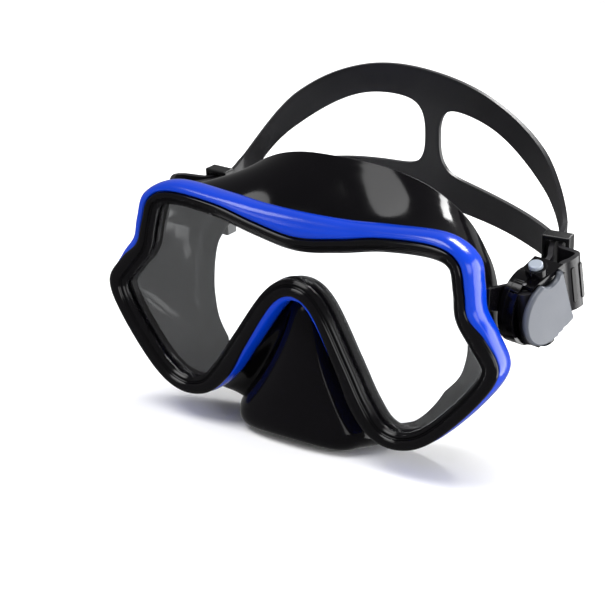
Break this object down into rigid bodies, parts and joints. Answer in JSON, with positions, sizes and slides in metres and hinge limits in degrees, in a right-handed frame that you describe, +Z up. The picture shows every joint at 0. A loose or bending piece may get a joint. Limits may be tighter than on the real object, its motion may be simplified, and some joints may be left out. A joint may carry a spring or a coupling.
{
  "type": "diving mask",
  "caption": "Single-lens diving mask with silicone skirt, nose pocket and split head strap, held by a swivelling push-button buckle at each side.",
  "frame": {"origin": "centre of the bezel's front plane", "axes": "+X to the wearer's left, +Y back towards the face, +Z up"},
  "size_m": [0.1834, 0.1076, 0.1317],
  "materials": {
    "blue_plastic": "gloss",
    "black_plastic": "gloss",
    "lens_glass": "polished",
    "silicone": "gloss",
    "strap_silicone": "satin",
    "grey_plastic": "satin",
    "dark_plastic": "satin",
    "steel": "brushed"
  },
  "bodies": {
    "mask": {"front_frame": "blue_plastic", "bezel": "black_plastic", "lens": "lens_glass", "skirt": "silicone", "left_arm": "black_plastic", "left_swivel_pin": "steel", "right_arm": "black_plastic", "right_swivel_pin": "steel"},
    "left_harness": {"left_buckle": "black_plastic", "left_cover": "grey_plastic", "left_roller_pin": "steel", "left_pawl_pin": "steel", "left_upper_spring": "steel", "left_lower_spring": "steel", "strap": "strap_silicone"},
    "right_harness": {"right_buckle": "black_plastic", "right_cover": "grey_plastic", "right_roller_pin": "steel", "right_pawl_pin": "steel", "right_upper_spring": "steel", "right_lower_spring": "steel"},
    "left_roller_body": {"left_roller": "dark_plastic"},
    "left_pawl_body": {"left_pawl": "dark_plastic"},
    "left_upper_button_body": {"left_upper_button": "grey_plastic"},
    "left_lower_button_body": {"left_lower_button": "grey_plastic"},
    "left_keeper_body": {"left_keeper": "dark_plastic"},
    "right_roller_body": {"right_roller": "dark_plastic"},
    "right_pawl_body": {"right_pawl": "dark_plastic"},
    "right_upper_button_body": {"right_upper_button": "grey_plastic"},
    "right_lower_button_body": {"right_lower_button": "grey_plastic"},
    "right_keeper_body": {"right_keeper": "dark_plastic"}
  },
  "joints": [
    {"name": "left_swivel", "type": "hinge", "parent": "mask", "child": "left_harness", "pos_m": [0.0781, 0.0336, 0.0138], "axis": [1, 0, 0], "range_deg": [-35, 30]},
    {"name": "left_roller_spin", "type": "hinge", "parent": "left_harness", "child": "left_roller_body", "pos_m": [0.0817, 0.02939, 0.0121], "axis": [0, -0.3746, 0.9272], "continuous": true},
    {"name": "left_upper_press", "type": "slide", "parent": "left_harness", "child": "left_upper_button_body", "axis": [0, 0.3746, -0.9272], "range_m": [0, 0.0015], "stiffness_N_per_m": 800, "deforming": ["left_upper_spring"]},
    {"name": "left_lower_press", "type": "slide", "parent": "left_harness", "child": "left_lower_button_body", "axis": [0, -0.3746, 0.9272], "range_m": [0, 0.0015], "stiffness_N_per_m": 800, "deforming": ["left_lower_spring"]},
    {"name": "left_pawl_lift", "type": "hinge", "parent": "left_harness", "child": "left_pawl_body", "pos_m": [0.08337, 0.0404, 0.01655], "axis": [0, -0.3746, 0.9272], "range_deg": [-12.1, 0]},
    {"name": "left_keeper_slide", "type": "slide", "parent": "left_harness", "child": "left_keeper_body", "axis": [-0.1032, 0.9823, 0.1564], "range_m": [-0.0005, 0.003]},
    {"name": "right_swivel", "type": "hinge", "parent": "mask", "child": "right_harness", "pos_m": [-0.0781, 0.0336, 0.0138], "axis": [1, 0, 0], "range_deg": [-35, 30]},
    {"name": "right_roller_spin", "type": "hinge", "parent": "right_harness", "child": "right_roller_body", "pos_m": [-0.0817, 0.02939, 0.0121], "axis": [0, -0.3746, 0.9272], "continuous": true},
    {"name": "right_upper_press", "type": "slide", "parent": "right_harness", "child": "right_upper_button_body", "axis": [0, 0.3746, -0.9272], "range_m": [0, 0.0015], "stiffness_N_per_m": 800, "deforming": ["right_upper_spring"]},
    {"name": "right_lower_press", "type": "slide", "parent": "right_harness", "child": "right_lower_button_body", "axis": [0, -0.3746, 0.9272], "range_m": [0, 0.0015], "stiffness_N_per_m": 800, "deforming": ["right_lower_spring"]},
    {"name": "right_pawl_lift", "type": "hinge", "parent": "right_harness", "child": "right_pawl_body", "pos_m": [-0.08337, 0.0404, 0.01655], "axis": [0, -0.3746, 0.9272], "range_deg": [0, 12.1]},
    {"name": "right_keeper_slide", "type": "slide", "parent": "left_harness", "child": "right_keeper_body", "axis": [0.1032, 0.9823, 0.1564], "range_m": [-0.0005, 0.003]}
  ],
  "couplings": [
    {"joint": "left_pawl_lift", "follows": "left_upper_press", "rad_per_m": -139.6},
    {"joint": "right_pawl_lift", "follows": "right_upper_press", "rad_per_m": 139.6},
    {"joint": "right_swivel", "follows": "left_swivel", "ratio": 1}
  ]
}
